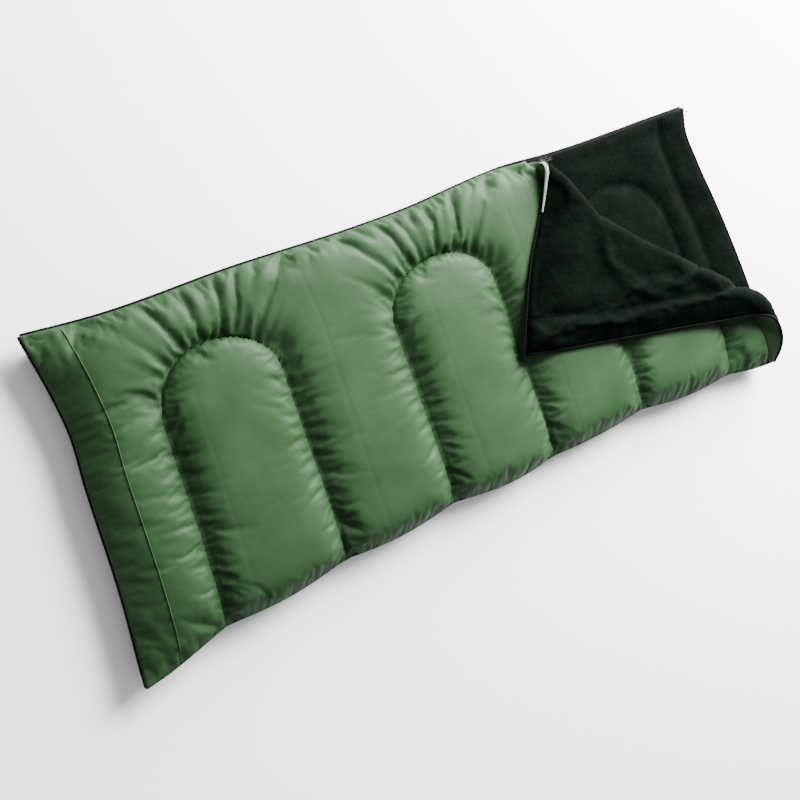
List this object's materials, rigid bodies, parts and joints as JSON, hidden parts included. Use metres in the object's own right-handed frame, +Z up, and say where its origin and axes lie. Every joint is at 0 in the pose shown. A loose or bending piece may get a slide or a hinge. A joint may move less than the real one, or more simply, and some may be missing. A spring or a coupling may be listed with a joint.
{
  "type": "rectangular sleeping bag",
  "caption": "Quilted rectangular sleeping bag lying flat, zipped along one side and the foot, with one head corner folded back to show the dark lining.",
  "frame": {"origin": "middle of the bag's footprint, on the ground", "axes": "+Z up, +X along the bag from the foot to the head, +Y towards the zipped side"},
  "size_m": [1.9, 0.75, 0.17],
  "materials": {
    "shell": "satin",
    "lining": "matte",
    "fill": "matte",
    "tape": "matte",
    "coil": "satin",
    "thread": "matte",
    "slider": "satin"
  },
  "bodies": {
    "under_layer": {"under_shell": "shell", "under_fill": "fill", "under_lining": "lining", "under_head_band": "lining", "under_arch_stitch_1": "thread", "under_arch_stitch_2": "thread", "under_arch_stitch_3": "thread", "under_side_tape": "tape", "under_foot_tape": "tape", "under_side_coil": "coil", "under_foot_coil": "coil", "under_top_stop": "slider", "zip_box": "slider", "side_fold_shell": "shell", "side_fold_fill": "fill"},
    "upper_layer": {"upper_shell": "shell", "upper_foot_band": "shell", "upper_fill": "fill", "upper_lining": "lining", "upper_arch_stitch_1": "thread", "upper_arch_stitch_2": "thread", "upper_arch_stitch_3": "thread", "upper_side_tape": "tape", "upper_foot_tape": "tape", "upper_side_coil": "coil", "upper_foot_coil": "coil", "zip_pin": "slider", "crease_shell": "shell", "crease_fill": "fill", "crease_lining": "lining"},
    "corner_flap": {"flap_shell": "shell", "flap_fill": "fill", "flap_lining": "lining", "flap_head_band": "lining", "flap_side_tape": "tape", "flap_side_coil": "coil", "flap_top_stop": "slider"},
    "zip_slider": {"slider_body": "slider"},
    "outer_pull": {"outer_pull": "slider"},
    "inner_pull": {"inner_pull": "slider"}
  },
  "joints": [
    {"name": "upper_layer_open", "type": "hinge", "parent": "under_layer", "child": "upper_layer", "pos_m": [0, -0.335, 0.05], "axis": [1, 0, 0], "range_deg": [0, 180], "deforming": ["side_fold_shell", "side_fold_fill"]},
    {"name": "corner_flap_fold", "type": "hinge", "parent": "upper_layer", "child": "corner_flap", "pos_m": [0.44, 0.37, 0.1025], "axis": [-0.5592, 0.829, 0], "range_deg": [0, 174], "deforming": ["crease_shell", "crease_fill", "crease_lining"]},
    {"name": "zip_slide", "type": "slide", "parent": "under_layer", "child": "zip_slider", "axis": [1, 0, 0], "range_m": [-1.33, 0.485]},
    {"name": "outer_pull_swing", "type": "hinge", "parent": "zip_slider", "child": "outer_pull", "pos_m": [0.44, 0.3714, 0.05], "axis": [0, 0, -1], "range_deg": [0, 170]},
    {"name": "inner_pull_swing", "type": "hinge", "parent": "zip_slider", "child": "inner_pull", "pos_m": [0.44, 0.3586, 0.05], "axis": [0, 0, 1], "range_deg": [0, 170]}
  ]
}
